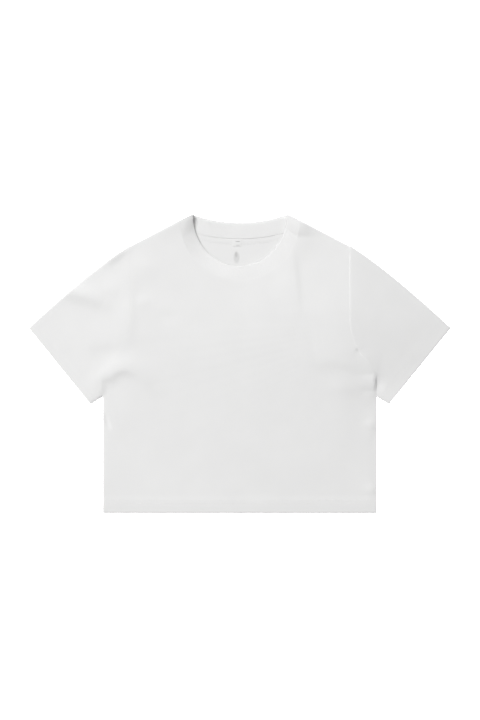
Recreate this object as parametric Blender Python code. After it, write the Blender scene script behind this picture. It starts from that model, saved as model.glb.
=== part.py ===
"""A crew-neck crop T-shirt laid flat on its back, front side up, at its real size.

Metres, +Z up, +Y towards the neck. The origin is on the surface, under the middle of the shirt. The back
panel lies flat, the front panel lies over it, each sleeve is a tube pressed flat, and the ribbed neckband is
one ring folded at the shoulders. Pieces that are sewn together stop a seam gap short of each other.
"""

import collections
import math

import bmesh
import bpy
from mathutils import Vector

# The shirt as it lies. Points are on its right half, (x, y); the left half is its mirror image.
CHEST_HALF = 0.240
HEM_Y = -0.2625
NECK_CORNER = Vector((0.083, 0.2625))  # the neckband's edge at the shoulder fold
SHOULDER_NECK = Vector((0.105, 0.2515))  # the shoulder fold where it meets the neckband
SHOULDER_END = Vector((0.1924, 0.2062))  # the shoulder fold where it meets the sleeve
ARMHOLE_TURN = Vector((0.1922, 0.072))  # the straight armhole starts to curve outwards
ARMHOLE_CORNER = Vector((0.1940, 0.028))  # pulls that curve
ARMPIT = Vector((CHEST_HALF, -0.0175))
UNDERARM = Vector((CHEST_HALF, -0.0587))  # the sleeve's lower edge leaves the side fold
OVERARM_CORNER = Vector((0.2611, 0.1636))  # pulls the sleeve's upper edge into a slight bow
CUFF_TOP = Vector((0.3705, 0.0622))
CUFF_LOW = Vector((0.2612, -0.0722))
FRONT_BAND_Y = (0.1700, 0.1455)  # the front neckband on the middle line, at its edge and at its seam
BACK_BAND_Y = (0.2463, 0.2181)  # the back neckband on the middle line

# Cloth
JERSEY = 0.0010
HEM_PLY = 0.0008  # what the turned-up cloth adds inside a hem
RIB = 0.0018  # the neckband is two plies of rib
HEM_DEPTH = 0.0246
SEAM = 0.0003  # the gap between sewn pieces, one above the other
SIDE_SEAM = 0.0004  # the gap between sewn pieces, side by side
AIR = 0.0019  # between the front and the back

# Heights of the layers above the surface
FRONT_LOW = JERSEY + AIR
EDGE_LOW = JERSEY + SEAM  # the front where it rolls down to the back at a fold
SLEEVE_ROLL = (FRONT_LOW + JERSEY) / 2  # radius of a sleeve's folds
BAND_ROLL = (FRONT_LOW + RIB) / 2  # radius of the neckband's folds

# Neck tape and size tab, on the inside of the back
TAPE_WIDTH = 0.010
TAPE_END = math.radians(76)
TAB_MIDDLE_X = -0.0053
TAB_WIDTH = 0.017
TAB_LENGTH = 0.0125

# The largest folds of the upper layer: soft ridges, or troughs where the height is negative.
# They run from (x0, y0) to (x1, y1), and fade over the width on each side.
Fold = collections.namedtuple("Fold", "x0 y0 x1 y1 width height")
FOLDS = (
    # along the armhole seams
    Fold(0.198, 0.165, 0.196, 0.070, 0.026, 0.0014),
    Fold(0.196, 0.070, 0.224, 0.010, 0.024, 0.0012),
    Fold(-0.200, 0.150, -0.197, 0.075, 0.026, 0.0012),
    Fold(-0.197, 0.075, -0.222, 0.018, 0.026, 0.0013),
    # gathered at the armpits
    Fold(-0.232, -0.028, -0.204, -0.014, 0.013, -0.0011),
    Fold(-0.204, -0.014, -0.164, -0.042, 0.014, -0.0009),
    Fold(0.150, 0.002, 0.226, -0.022, 0.015, -0.0010),
    Fold(0.182, -0.044, 0.210, -0.060, 0.012, -0.0007),
    # across the left sleeve and down from the neck
    Fold(-0.290, 0.108, -0.244, 0.086, 0.013, -0.0010),
    Fold(0.096, 0.200, 0.104, 0.105, 0.011, -0.0006),
)

# How finely the pieces are divided. Two sewn edges share their steps, so the gap between them is even.
SIDE_STEPS = 14  # from the hem to the armpit
ARMHOLE_STEPS = 18
NECK_STEPS = 10  # up half a neckline, beside the last of the armhole's steps
FRONT_COLUMNS = 15
BACK_COLUMNS = 4
SLEEVE_STATIONS = (0.0, 0.13, 0.27, 0.42, 0.57, 0.73, 0.885, 0.893, 1.0)
CUFF_BAND_FROM = 0.89
ROLL_CELLS = 4
TAPE_CELLS = 16
ARMHOLE_STRAIGHT = 10 / ARMHOLE_STEPS  # share of the armhole that is straight
ARMHOLE_SHARE = 0.9  # share of the sleeve's sewn end above the armpit
ARMPIT_CUFF_SHARE = 0.72  # share of the cuff above the line that starts at the armpit

COTTON = (0.86, 0.86, 0.85)
LABEL = (0.80, 0.80, 0.79)


def clear_scene():
    for old in list(bpy.data.objects):
        bpy.data.objects.remove(old, do_unlink=True)


def cotton(name, colour, roughness):
    material = bpy.data.materials.new(name)
    material.use_nodes = True
    shader = material.node_tree.nodes["Principled BSDF"]
    shader.inputs["Base Color"].default_value = (*colour, 1.0)
    shader.inputs["Roughness"].default_value = roughness
    shader.inputs["Metallic"].default_value = 0.0
    return material


def bend(start, corner, end, t):
    """A point on the curve from start to end that the corner pulls outwards."""
    return start.lerp(corner, t).lerp(corner.lerp(end, t), t)


def ease(t):
    t = min(max(t, 0.0), 1.0)
    return t * t * (3 - 2 * t)


def lift(x, y):
    """How far the folds raise the upper layer at a place."""
    spot = Vector((x, y))
    total = 0.0
    for fold in FOLDS:
        start = Vector((fold.x0, fold.y0))
        along = Vector((fold.x1, fold.y1)) - start
        share = min(max((spot - start).dot(along) / along.length_squared, 0.0), 1.0)
        away = (spot - start - share * along).length / fold.width
        total += fold.height * math.exp(-away * away)
    return total


def grid_faces(index, rows, columns, wrap=False):
    """Triangles over a grid of numbered points; a wrapped grid closes on itself across its rows."""
    faces = []
    for r in range(rows - 1):
        for c in range(columns if wrap else columns - 1):
            after = (c + 1) % columns
            a, b = index(r, c), index(r, after)
            d, e = index(r + 1, c), index(r + 1, after)
            faces += [(a, b, e), (a, e, d)]
    return faces


def closed_wall(name, outside, inside, faces, material):
    """One closed wall from its two skins, which have the same faces, and a strip round each open edge."""
    mesh = bmesh.new()
    skins = [[mesh.verts.new(point) for point in skin] for skin in (outside, inside)]
    uses = collections.Counter()
    for face in faces:
        mesh.faces.new([skins[0][i] for i in face])
        mesh.faces.new([skins[1][i] for i in reversed(face)])
        uses.update(frozenset(pair) for pair in zip(face, face[1:] + face[:1]))
    for pair, count in uses.items():
        if count == 1:
            a, b = sorted(pair)
            mesh.faces.new([skins[0][a], skins[0][b], skins[1][b]])
            mesh.faces.new([skins[0][a], skins[1][b], skins[1][a]])
    bmesh.ops.recalc_face_normals(mesh, faces=mesh.faces)
    data = bpy.data.meshes.new(name)
    mesh.to_mesh(data)
    mesh.free()
    data.materials.append(material)
    data.shade_smooth()
    data.set_sharp_from_angle(angle=math.radians(40))
    made = bpy.data.objects.new(name, data)
    bpy.context.scene.collection.objects.link(made)
    return made


def armhole(t):
    """The armhole seam, from the shoulder fold (0) to the armpit (1)."""
    if t < ARMHOLE_STRAIGHT:
        return SHOULDER_END.lerp(ARMHOLE_TURN, t / ARMHOLE_STRAIGHT)
    return bend(ARMHOLE_TURN, ARMHOLE_CORNER, ARMPIT, (t - ARMHOLE_STRAIGHT) / (1 - ARMHOLE_STRAIGHT))


def fold_normal():
    """The way out of the shirt, across the right shoulder fold."""
    along = (SHOULDER_NECK - NECK_CORNER).normalized()
    return Vector((-along.y, along.x))


def neck_arc(corner, middle_y, angle, grow=0.0):
    """The neckband's seam line: half an ellipse that hangs from the shoulder folds. Angle 0 is the middle."""
    hang = corner.y - middle_y + grow
    return Vector(((corner.x + grow) * math.sin(angle), corner.y - hang * math.cos(angle)))


def seam_corner():
    return SHOULDER_NECK - fold_normal() * BAND_ROLL


# A place on a panel: where it is, whether it is on a rolled edge, and whether it is in the hem.
Spot = collections.namedtuple("Spot", "x y rolled hem")


def half_panel(middle_y, columns):
    """Rows of spots on the right half of the front or back, from the hem to the shoulder fold.

    The rows start on the middle line, then on the neckline, whose lowest point is middle_y. They end on the
    side fold, then on the armhole, and the last row is the shoulder fold.
    """
    hem_top = HEM_Y + HEM_DEPTH
    heights = [HEM_Y, hem_top - HEM_PLY, hem_top + HEM_PLY]
    heights += [hem_top + (ARMPIT.y - hem_top) * i / SIDE_STEPS for i in range(1, SIDE_STEPS + 1)]
    inner = [Vector((0.0, y)) for y in heights]
    outer = [Vector((CHEST_HALF, y)) for y in heights]

    above = ARMHOLE_STEPS - NECK_STEPS
    low = middle_y - SIDE_SEAM
    inner += [Vector((0.0, ARMPIT.y + (low - ARMPIT.y) * i / above)) for i in range(1, above + 1)]
    joined = len(inner)
    for i in range(1, NECK_STEPS + 1):
        inner.append(neck_arc(seam_corner(), middle_y, math.pi / 2 * i / NECK_STEPS, SIDE_SEAM))
    inner.append(SHOULDER_NECK + Vector((SIDE_SEAM, 0.0)))
    outer += [armhole(1 - i / ARMHOLE_STEPS) for i in range(1, ARMHOLE_STEPS)]
    outer += [SHOULDER_END - Vector((0.0, BAND_ROLL)), SHOULDER_END]

    rows = []
    for r, (a, b) in enumerate(zip(inner, outer)):
        edge = 1 - BAND_ROLL / (b - a).length
        shares = [edge * c / columns for c in range(columns + 1)] + [1.0]
        on_side = r < len(heights)
        on_shoulder = r == len(inner) - 1
        rows.append(
            [Spot(*a.lerp(b, share), on_shoulder or (on_side and share == 1.0), r < 2) for share in shares]
        )
    return rows, joined


def whole_panel(name, rows, joined, low, high, material):
    """A panel from its right half. The first spot of the first joined rows is on the middle line."""
    spots, index = [], {}
    for side in (1, -1):
        for r, row in enumerate(rows):
            for c, spot in enumerate(row):
                if side == -1 and c == 0 and r < joined:
                    index[side, r, c] = index[1, r, c]
                    continue
                index[side, r, c] = len(spots)
                spots.append(spot._replace(x=side * spot.x))
    faces = []
    for side in (1, -1):
        faces += grid_faces(lambda r, c, s=side: index[s, r, c], len(rows), len(rows[0]))
    outside = [(spot.x, spot.y, high(spot)) for spot in spots]
    inside = [(spot.x, spot.y, low(spot)) for spot in spots]
    return closed_wall(name, outside, inside, faces, material)


def make_back():
    rows, joined = half_panel(BACK_BAND_Y[1], BACK_COLUMNS)
    return whole_panel(
        "back_body",
        rows,
        joined,
        low=lambda spot: 0.0,
        high=lambda spot: JERSEY + HEM_PLY * spot.hem,
        material=cotton("back_jersey", COTTON, 0.9),
    )


def front_low(spot):
    """The underside of the front: over the back, and rolled down to it at the side and shoulder folds."""
    if spot.rolled:
        return EDGE_LOW + HEM_PLY * spot.hem
    return FRONT_LOW + lift(spot.x, spot.y) - HEM_PLY * spot.hem


def make_front():
    rows, joined = half_panel(FRONT_BAND_Y[1], FRONT_COLUMNS)
    return whole_panel(
        "front_body",
        rows,
        joined,
        low=front_low,
        high=lambda spot: front_low(spot) + JERSEY + HEM_PLY * (spot.hem and not spot.rolled),
        material=cotton("front_jersey", COTTON, 0.9),
    )


def rolled_loop(upper, lower, out_start, out_end, radius, wall, raised=()):
    """A flat loop of cloth: upper run, fold, lower run, fold. It returns its outer and inner points.

    The lower run lies on the surface. The folds are half circles, and raised is how far each point of the
    upper run stands above their tops.
    """
    outer, inner = [], []

    def add(x, y, z, direction):
        for points, distance in ((outer, 0.0), (inner, -wall)):
            points.append(Vector((x, y, z)) + direction * distance)

    def add_fold(middle, out, from_top):
        for i in range(1, ROLL_CELLS):
            turn = math.pi * i / ROLL_CELLS
            up = math.cos(turn) if from_top else -math.cos(turn)
            direction = Vector((*(out * math.sin(turn)), up))
            add(*(Vector((*middle, radius)) + direction * radius), direction)

    for (x, y), height in zip(upper, raised or [0.0] * len(upper)):
        add(x, y, 2 * radius + height, Vector((0, 0, 1)))
    add_fold(upper[-1], out_end, True)
    for x, y in reversed(lower):
        add(x, y, 0.0, Vector((0, 0, -1)))
    add_fold(lower[0], out_start, False)
    return outer, inner


def tube(name, loops, material):
    """A piece of cloth closed round on itself, from its loops, one after another along it."""
    count = len(loops[0][0])
    outside = [point for outer, _ in loops for point in outer]
    inside = [point for _, inner in loops for point in inner]
    faces = grid_faces(lambda r, c: r * count + c, len(loops), count, wrap=True)
    return closed_wall(name, outside, inside, faces, material)


def sewn_end(share):
    """The sleeve's sewn end: down the armhole (from 0), then down the side fold to the underarm (1)."""
    gap = Vector((SIDE_SEAM, 0.0))
    if share < ARMHOLE_SHARE:
        return armhole(share / ARMHOLE_SHARE) + gap
    return ARMPIT.lerp(UNDERARM, (share - ARMHOLE_SHARE) / (1 - ARMHOLE_SHARE)) + gap


def sleeve_spot(along, across):
    """A place on the right sleeve: along from the armhole to the cuff, across from the overarm down.

    The line that starts at the armpit ends higher up the cuff, so that lines leave the seam at a wide angle.
    """
    start, end = sewn_end(0.0), sewn_end(1.0)
    overarm = bend(start, OVERARM_CORNER, CUFF_TOP, along)
    underarm = end.lerp(CUFF_LOW, along)
    curve = sewn_end(across) - start.lerp(end, across)
    if across < ARMHOLE_SHARE:
        at_cuff = across * ARMPIT_CUFF_SHARE / ARMHOLE_SHARE
    else:
        at_cuff = 1 - (1 - across) * (1 - ARMPIT_CUFF_SHARE) / (1 - ARMHOLE_SHARE)
    share = across + (at_cuff - across) * along
    return overarm.lerp(underarm, share) + curve * (1 - along) ** 1.5


def make_sleeve(name, side):
    steps = [ARMHOLE_SHARE * i / ARMHOLE_STEPS for i in range(ARMHOLE_STEPS + 1)]
    steps += [(1 + ARMHOLE_SHARE) / 2, 1.0]
    loops = []
    for along in SLEEVE_STATIONS:
        run = [sleeve_spot(along, across) for across in steps]
        out_start = (run[0] - run[1]).normalized()
        out_end = (run[-1] - run[-2]).normalized()
        run[0] -= out_start * SLEEVE_ROLL
        run[-1] -= out_end * SLEEVE_ROLL
        shares = [ease(5 * min(across, 1 - across)) for across in steps]
        heights = [share * lift(side * x, y) for share, (x, y) in zip(shares, run)]
        wall = JERSEY + HEM_PLY * (along > CUFF_BAND_FROM)
        loops.append(rolled_loop(run, run, out_start, out_end, SLEEVE_ROLL, wall, heights))
    if side == -1:
        loops = [tuple([Vector((-p.x, p.y, p.z)) for p in skin] for skin in loop) for loop in loops]
    return tube(name, loops, cotton(name + "_jersey", COTTON, 0.9))


def make_neckband():
    out = fold_normal()
    angles = [math.pi / 2 * (1 - i / NECK_STEPS) for i in range(2 * NECK_STEPS + 1)]
    loops = []
    for edge, corner in enumerate((NECK_CORNER, SHOULDER_NECK)):
        corner = corner - out * BAND_ROLL
        front = [neck_arc(corner, FRONT_BAND_Y[edge], angle) for angle in angles]
        back = [neck_arc(corner, BACK_BAND_Y[edge], angle) for angle in angles]
        if edge == 0:  # the back neckband's free edge is a flatter arc than its seam
            drop = corner.y - BACK_BAND_Y[edge]
            back = [Vector((p.x, corner.y - drop * (1 - (p.x / corner.x) ** 2))) for p in back]
        loops.append(rolled_loop(front, back, out, Vector((-out.x, out.y)), BAND_ROLL, RIB))
    return tube("neck_rib", loops, cotton("neck_rib_cotton", COTTON, 0.85))


def make_neck_tape():
    """A strip over the back neck seam, on the inside of the back."""
    spots = []
    for width in (2 * SIDE_SEAM, 2 * SIDE_SEAM + TAPE_WIDTH):
        for i in range(TAPE_CELLS + 1):
            angle = TAPE_END * (2 * i / TAPE_CELLS - 1)
            spots.append(neck_arc(seam_corner(), BACK_BAND_Y[1], angle, width))
    faces = grid_faces(lambda r, c: r * (TAPE_CELLS + 1) + c, 2, TAPE_CELLS + 1)
    outside = [(*spot, EDGE_LOW + JERSEY) for spot in spots]
    inside = [(*spot, EDGE_LOW) for spot in spots]
    return closed_wall("neck_tape", outside, inside, faces, cotton("tape_cotton", COTTON, 0.9))


def make_size_tab():
    """A small folded label that hangs from the back neck seam over the tape."""
    low = EDGE_LOW + JERSEY + SEAM
    high = low + JERSEY
    top_y = BACK_BAND_Y[1] - 3 * SIDE_SEAM
    spots = []
    for y in (top_y, top_y - TAB_LENGTH):
        for side in (-1, 1):
            spots.append((TAB_MIDDLE_X + side * TAB_WIDTH / 2, y))
    outside = [(*spot, high) for spot in spots]
    inside = [(*spot, low) for spot in spots]
    faces = grid_faces(lambda r, c: 2 * r + c, 2, 2)
    return closed_wall("size_tab", outside, inside, faces, cotton("tab_ribbon", LABEL, 0.6))


def main():
    clear_scene()
    make_back()
    make_front()
    make_sleeve("sleeve_right", 1)
    make_sleeve("sleeve_left", -1)
    make_neckband()
    make_neck_tape()
    make_size_tab()


main()
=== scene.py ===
# %% [markdown]
# # A boxy crop T-shirt, laid flat
#
# The real shirt is cut from thin cotton jersey: a front, a back and two short sleeves, with a neckband of
# doubled rib. It lies on its back, so the front covers the back, and through the neck one sees the inside of
# the back, its tape and its size tab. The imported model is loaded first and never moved: it gives the sizes
# and the places, and each piece of cloth made below takes the place of one of its solids.

# %% Load the frame
import math

import bmesh
import bpy
import numpy as np
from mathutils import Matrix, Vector
from mathutils.bvhtree import BVHTree


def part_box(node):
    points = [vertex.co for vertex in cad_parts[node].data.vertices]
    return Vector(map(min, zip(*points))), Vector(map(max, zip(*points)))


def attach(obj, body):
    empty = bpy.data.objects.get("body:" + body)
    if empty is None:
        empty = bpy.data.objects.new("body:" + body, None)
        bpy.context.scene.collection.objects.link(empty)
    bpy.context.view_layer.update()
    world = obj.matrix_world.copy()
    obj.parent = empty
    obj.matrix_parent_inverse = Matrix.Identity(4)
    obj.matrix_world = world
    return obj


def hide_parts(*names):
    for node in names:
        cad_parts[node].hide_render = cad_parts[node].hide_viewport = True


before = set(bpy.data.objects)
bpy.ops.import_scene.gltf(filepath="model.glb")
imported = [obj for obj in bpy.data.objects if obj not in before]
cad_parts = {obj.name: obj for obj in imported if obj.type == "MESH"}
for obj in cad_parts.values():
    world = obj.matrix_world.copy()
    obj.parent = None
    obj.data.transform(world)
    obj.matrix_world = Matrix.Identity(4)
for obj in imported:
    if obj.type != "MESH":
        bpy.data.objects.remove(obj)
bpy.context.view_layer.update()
print("solids in the frame:", sorted(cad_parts))

# %% [markdown]
# ## Sizes
#
# A shirt is drawn by its lines as it lies: the side folds, the armholes, the shoulder folds, the neckline
# and the cuffs. Most of them are edges of the solids' boxes, so they are read from there. The rest are named
# here, in metres, for the right half; the left half mirrors them.

# %% Lines of the shirt
front_low, front_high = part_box("front_body")
band_low, band_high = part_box("neck_rib")
cuff_low, cuff_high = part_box("sleeve_right")
tab_low, tab_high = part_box("size_tab")

CHEST = front_high.x
HEM_Y = front_low.y
SHOULDER_END = np.array([0.1924, cuff_high.y])
SHOULDER_NECK = np.array([band_high.x, front_high.y])
NECK_CORNER = np.array([0.083, band_high.y])
ARMHOLE_TURN = np.array([SHOULDER_END[0], 0.072])
ARMHOLE_CORNER = np.array([0.1940, 0.028])
ARMPIT = np.array([CHEST, -0.0175])
UNDERARM = np.array([CHEST, -0.0587])
OVERARM_CORNER = np.array([0.2611, 0.1636])
CUFF_TOP = np.array([cuff_high.x, 0.0622])
CUFF_LOW = np.array([0.2612, cuff_low.y])
FRONT_BAND_Y = (0.1700, band_low.y)  # the front neckband's free edge and its seam, on the middle line
BACK_BAND_Y = (0.2463, 0.2181)  # the same for the back

HEM = 0.0246  # depth of the turned-up hems
CLOTH = 0.0007  # thickness of the jersey
SEAM_STEP = {1: 0.00030, -1: 0.0}  # how far a sleeve's edge stands above the body's at the armhole
PLY = 0.0009  # from one ply of a hem to the next
BACK_MID = 0.0004  # height of the middle of the back's cloth
FRONT_MID = 0.0028  # height of the middle of the front's cloth where nothing lifts it
FOLD_R = (FRONT_MID - BACK_MID) / 2  # radius of the folds at the sides, shoulders and sleeves
FINE = 0.0032  # spacing of the points of the upper cloth
COARSE = 0.0055  # and of the cloth that lies on the surface
print(f"chest {2 * CHEST * 1000:.0f} mm, length {(NECK_CORNER[1] - HEM_Y) * 1000:.0f} mm")

# %% [markdown]
# ## Curves and distances
#
# Every line is an array of points in the plan, and two helpers do most of the work: a bend, which is a curve
# pulled by one corner, and the distance from many points to a line. The second is what a crease, a seam or a
# hem needs to know where it is.


# %% Helpers for lines
def bend(start, corner, end, t):
    t = np.asarray(t, float)[:, None]
    return (1 - t) ** 2 * start + 2 * t * (1 - t) * corner + t**2 * end


def straight(start, end, t):
    t = np.asarray(t, float)[:, None]
    return start + (end - start) * t


def ease(t):
    t = np.clip(t, 0.0, 1.0)
    return t * t * (3 - 2 * t)


def bump(distance, width):
    return np.exp(-((distance / width) ** 2))


def to_line(x, y, line):
    """Each point's distance from a line, how far along the line that is (0 to 1), and on which side."""
    best = np.full(np.shape(x), np.inf)
    where = np.zeros(np.shape(x))
    side = np.zeros(np.shape(x))
    count = len(line) - 1
    for i, ((ax, ay), (bx, by)) in enumerate(zip(line[:-1], line[1:])):
        dx, dy = bx - ax, by - ay
        share = np.clip(((x - ax) * dx + (y - ay) * dy) / (dx * dx + dy * dy), 0, 1)
        away = np.hypot(x - ax - share * dx, y - ay - share * dy)
        nearer = away < best
        best = np.where(nearer, away, best)
        where = np.where(nearer, (i + share) / count, where)
        side = np.where(nearer, (dx * (y - ay) - dy * (x - ax)) / np.hypot(dx, dy), side)
    return best, where, side


ARMHOLE_STRAIGHT = 0.56  # share of the armhole that is straight


def armhole(t):
    """The armhole seam from the shoulder fold (0) to the armpit (1): straight, then curving outwards."""
    t = np.asarray(t, float)
    down = straight(SHOULDER_END, ARMHOLE_TURN, np.clip(t / ARMHOLE_STRAIGHT, 0, 1))
    rest = np.clip((t - ARMHOLE_STRAIGHT) / (1 - ARMHOLE_STRAIGHT), 0, 1)
    return np.where((t < ARMHOLE_STRAIGHT)[:, None], down, bend(ARMHOLE_TURN, ARMHOLE_CORNER, ARMPIT, rest))


ARMPIT_SHARE = 0.9  # share of the sewn end above the armpit
ARMPIT_AT_CUFF = 0.72  # share of the cuff above the line that starts at the armpit


def sewn_end(share):
    share = np.asarray(share, float)
    upper = armhole(np.clip(share / ARMPIT_SHARE, 0, 1))
    lower = straight(ARMPIT, UNDERARM, np.clip((share - ARMPIT_SHARE) / (1 - ARMPIT_SHARE), 0, 1))
    return np.where((share < ARMPIT_SHARE)[:, None], upper, lower)


def neck_arc(corner, middle_y, angle, grow=0.0):
    """Half an ellipse hung from the shoulder folds; angle 0 is on the middle line."""
    angle = np.asarray(angle, float)
    hang = corner[1] - middle_y + grow
    return np.stack([(corner[0] + grow) * np.sin(angle), corner[1] - hang * np.cos(angle)], axis=1)


def unit(v):
    return v / np.linalg.norm(v, axis=-1, keepdims=True)


shoulder_way = unit(SHOULDER_NECK - NECK_CORNER)
SHOULDER_OUT = np.array([-shoulder_way[1], shoulder_way[0]])  # out of the shirt, across the shoulder fold
BAND_R = 0.0022  # how far the neckband reaches past the ends of its arcs
SEAM_CORNER = SHOULDER_NECK - SHOULDER_OUT * BAND_R
EDGE_CORNER = NECK_CORNER - SHOULDER_OUT * BAND_R

quarter = np.linspace(0, math.pi / 2, 24)
NECK_SEAM = neck_arc(SEAM_CORNER, FRONT_BAND_Y[1], quarter)
ARMHOLE_LINE = armhole(np.linspace(0, 1, 40))
CUFF_LINE = straight(CUFF_TOP, CUFF_LOW, np.linspace(0, 1, 2))
print("lines ready:", len(ARMHOLE_LINE), "points on the armhole")

# %% [markdown]
# ## Creases
#
# Cotton jersey that has been laid down by hand is never quite flat: it is pulled into soft arches where the
# sleeves are sewn on, and dips beside the thick seams. A simulation would put its folds where it likes, so
# each crease is listed one by one instead. A row below is one crease: a curve from its start to its end,
# pulled by a middle point, with a width on either side and its height. A slumped fold is steep on one side
# and gentle on the other, which is why there are two widths. Heights are in millimetres, and a trough is
# negative.

# %% The creases of the upper cloth
CREASES = (
    # start x, y, pulled by x, y, end x, y, width to the left and to the right of its run, height
    ("left armpit arch", -0.2520, -0.0560, -0.2100, 0.0325, -0.1540, -0.0430, 0.0220, 0.0125, 2.0),
    ("pit under the arch", -0.2430, -0.0370, -0.2350, -0.0340, -0.2270, -0.0350, 0.0060, 0.0180, -0.8),
    ("ridge on the left armhole", -0.1925, 0.1600, -0.1895, 0.0850, -0.2000, 0.0350, 0.0120, 0.0240, 0.6),
    ("left overarm wedge", -0.2020, 0.2020, -0.2205, 0.1885, -0.2370, 0.1760, 0.0100, 0.0090, 1.5),
    ("left sleeve streak", -0.3150, 0.1260, -0.2850, 0.1270, -0.2400, 0.1040, 0.0160, 0.0130, 2.1),
    ("low on the left sleeve", -0.2700, 0.0340, -0.2350, 0.0370, -0.1980, 0.0390, 0.0240, 0.0140, 0.6),
    ("high on the left sleeve", -0.2380, 0.1310, -0.2240, 0.1310, -0.2100, 0.1280, 0.0160, 0.0120, 0.5),
    ("left shoulder swell", -0.1920, 0.1650, -0.1700, 0.1690, -0.1420, 0.1590, 0.0180, 0.0240, 0.7),
    ("left chest swell", -0.1820, 0.1070, -0.1700, 0.1060, -0.1560, 0.1080, 0.0100, 0.0130, 0.5),
    ("left side nick", -0.2375, -0.0890, -0.2345, -0.1010, -0.2285, -0.1140, 0.0030, 0.0022, -1.3),
    ("left chest dent", -0.1420, 0.0850, -0.1260, 0.0800, -0.1100, 0.0830, 0.0080, 0.0110, -0.3),
    ("left of the neck", -0.1550, 0.2330, -0.1260, 0.2480, -0.1040, 0.2480, 0.0150, 0.0260, 1.2),
    ("right of the neck", 0.1000, 0.2640, 0.1050, 0.2460, 0.1040, 0.2220, 0.0240, 0.0500, 2.8),
    ("down from the neck", 0.0880, 0.1950, 0.0950, 0.1500, 0.0990, 0.0980, 0.0090, 0.0300, 0.9),
    ("middle of the chest", 0.0260, 0.1720, 0.0400, 0.1100, 0.0560, 0.0470, 0.0160, 0.0300, 0.3),
    ("right armpit ridge", 0.1340, 0.0060, 0.1700, 0.0190, 0.2380, -0.0180, 0.0360, 0.0190, 1.6),
    ("right side wall", 0.2330, -0.0200, 0.2340, -0.0340, 0.2335, -0.0480, 0.0042, 0.0200, 1.7),
    ("right slit", 0.2420, -0.0200, 0.2422, -0.0340, 0.2420, -0.0480, 0.0110, 0.0036, -1.2),
    ("under the right armpit", 0.1600, -0.0410, 0.1850, -0.0330, 0.2180, -0.0480, 0.0280, 0.0180, 1.1),
    ("right armhole pucker", 0.2040, 0.0190, 0.2065, 0.0215, 0.2085, 0.0230, 0.0022, 0.0130, -0.8),
    ("right side dent", 0.2325, -0.0980, 0.2338, -0.1080, 0.2325, -0.1180, 0.0050, 0.0150, 0.8),
    ("right side low dent", 0.2320, -0.2120, 0.2332, -0.2220, 0.2320, -0.2320, 0.0050, 0.0150, 0.8),
    ("right cuff fall", 0.3700, 0.0620, 0.3500, 0.0390, 0.3280, 0.0130, 0.0200, 0.0440, -1.0),
    ("right edge", 0.2410, -0.0700, 0.2410, -0.1600, 0.2410, -0.2640, 0.0080, 0.0080, -0.6),
    ("lower right fall", 0.0300, -0.2620, 0.0900, -0.1500, 0.1700, -0.0400, 0.1500, 0.0900, 1.2),
)
MM = 0.001


def crease_height(x, y, creases=CREASES):
    """How far the creases lift the cloth. A crease is strongest in its middle and runs out at its ends."""
    total = np.zeros(np.shape(x))
    for _, x0, y0, x1, y1, x2, y2, left, right, height in creases:
        line = bend(np.array([x0, y0]), np.array([x1, y1]), np.array([x2, y2]), np.linspace(0, 1, 9))
        far = 0.5 * math.hypot(x2 - x0, y2 - y0) + 2.6 * max(left, right)
        near = np.hypot(x - line[:, 0].mean(), y - line[:, 1].mean()) < far + 0.01
        away, along, side = to_line(x[near], y[near], line)
        strength = 0.3 + 0.7 * np.sin(np.pi * along) ** 0.8
        width = right + (left - right) * ease(0.5 + side / (0.6 * (left + right)))
        total[near] += height * MM * strength * bump(away, width)
    return total


def waves(x, y, seed, longest, height):
    """Broad unevenness: a few long waves that cross, the same ones each time."""
    draw = np.random.default_rng(seed)
    total = np.zeros(np.shape(x))
    for i in range(7):
        turn, shift = draw.uniform(0, 2 * np.pi, 2)
        length = longest * draw.uniform(0.45, 1.0)
        total += np.sin((x * np.cos(turn) + y * np.sin(turn)) * 2 * np.pi / length + shift) / 7
    return total * height


print(len(CREASES), "creases")

# %% [markdown]
# ## The height of the upper cloth
#
# The front and the upper side of the sleeves are one landscape. It rises to the armhole seams, most of all
# on the right, because a set-in sleeve has more cloth at its head than a flat shape can hold. From there it
# falls in a long slope across the chest to the hem, and to the cuffs. How high it stands is judged from its
# shading. A seam is a fine valley, because the stitches pull it down. A hem is a step up, one ply high, with
# two fine grooves where the twin needle went. Near a fold all this fades out, so that the cloth meets the
# fold at one height.

# %% One height function for the front and the sleeves
PUFF = {1: 0.0076, -1: 0.0012}  # rise at the armhole seams, on the right (1) and the left (-1)
REACH = {1: 0.430, -1: 0.200}  # how far it reaches into the body
NECK_LOW = 0.0020  # height that the upper cloth sinks towards under the neck
NEEDLES = (0.0165, 0.0225)  # the two rows of stitches, from the hem's edge


def hem_profile(away, rounding=0.00028):
    """The rise of a hem by the distance from its edge: a rounded edge, and a step where the ply ends."""
    rise = 0.00027 * (1 - ease((away - HEM + 0.0010) / 0.0045)) - rounding * bump(away, 0.0095)
    for needle in NEEDLES:
        rise = rise - 0.00007 * bump(away - needle, 0.0009)
    return rise


def seam_share(along):
    """The share of the puff at each place of the armhole, from the shoulder fold (0) to the armpit (1)."""
    return 1 - 0.45 * ease((along - 0.45) / 0.55)


def puff(x, y):
    """The rise that the set-in sleeves give the body: a long slope up to each armhole, gone at the hem."""
    total = np.zeros(np.shape(x))
    for side in (1, -1):
        seam, along, _ = to_line(x * side, y, ARMHOLE_LINE)
        near = np.clip(1 - seam / REACH[side], 0, 1)
        total += PUFF[side] * seam_share(along) * near**0.75
    side_fold = to_line(np.abs(x), y, np.array([[CHEST, HEM_Y], UNDERARM]))[0]
    total = total * (0.10 + 0.90 * ease((y - HEM_Y) / 0.34))
    return total * (1 - bump(side_fold, np.where(x > 0, 0.048, 0.024)))


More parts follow.
